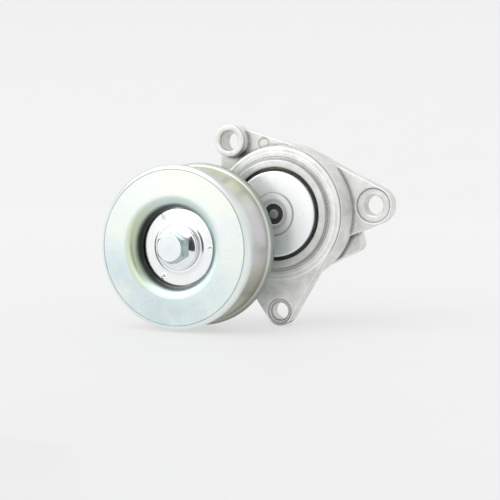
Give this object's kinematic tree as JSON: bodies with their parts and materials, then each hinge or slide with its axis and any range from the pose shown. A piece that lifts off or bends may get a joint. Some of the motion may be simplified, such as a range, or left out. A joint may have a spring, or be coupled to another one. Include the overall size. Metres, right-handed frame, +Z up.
{
  "type": "belt tensioner idler",
  "caption": "Sprung belt tensioner: cast housing with three bolting ears, swinging arm on a pivot and a smooth idler pulley on a sealed ball bearing.",
  "frame": {"origin": "centre of the lower bolt hole, on that ear's rear seating face", "axes": "+Z up as it stands, +X to the right seen from the belt side, +Y along every hole, pivot and pulley axis towards the engine; the pulley is on the -Y side"},
  "size_m": [0.1364, 0.0899, 0.1049],
  "materials": {
    "cast_aluminium": "as die-cast, slightly rough, machined on the faces",
    "arm_aluminium": "as die-cast",
    "zinc_yellow": "bright zinc with a faint yellow and blue passivation",
    "zinc_bright": "bright white zinc",
    "bearing_steel": "ground and polished",
    "dark_steel": "oiled dark steel",
    "bronze": "sintered bronze",
    "black_rubber": "matte",
    "polymer": "matte",
    "pale_polymer": "matte",
    "brass_cage": "pressed"
  },
  "bodies": {
    "base": {"housing": "cast_aluminium", "pivot_shaft": "dark_steel", "retaining_disc": "zinc_bright", "shaft_rivet": "dark_steel", "hub_bush": "bronze", "torsion_spring": "dark_steel", "spring_seat": "polymer"},
    "arm": {"swing_arm": "arm_aluminium", "pivot_bush": "bronze", "thrust_washer": "pale_polymer", "dust_seal": "black_rubber", "damping_ring": "polymer", "pulley_bolt": "zinc_bright", "bolt_washer": "zinc_bright", "dust_shield": "zinc_bright", "rear_shield": "zinc_bright", "bearing_sleeve": "dark_steel", "bearing_inner_race": "bearing_steel"},
    "idler": {"pulley": "zinc_yellow", "bearing_outer_race": "bearing_steel", "bearing_seal_front": "black_rubber", "bearing_seal_rear": "black_rubber"},
    "ball_set": {"bearing_balls": "bearing_steel", "bearing_cage": "brass_cage"}
  },
  "joints": [
    {"name": "arm_swing", "type": "hinge", "parent": "base", "child": "arm", "pos_m": [-0.002, -0.009, 0.051], "axis": [0, -1, 0], "range_deg": [0, 34], "stiffness_Nm_per_rad": 10, "springref_deg": -57.3},
    {"name": "pulley_spin", "type": "hinge", "parent": "arm", "child": "idler", "pos_m": [-0.0386, -0.041, 0.0352], "axis": [0, -1, 0], "continuous": true},
    {"name": "ball_orbit", "type": "hinge", "parent": "arm", "child": "ball_set", "pos_m": [-0.0386, -0.041, 0.0352], "axis": [0, -1, 0], "continuous": true}
  ],
  "couplings": [
    {"joint": "ball_orbit", "follows": "pulley_spin", "ratio": 0.6182}
  ]
}
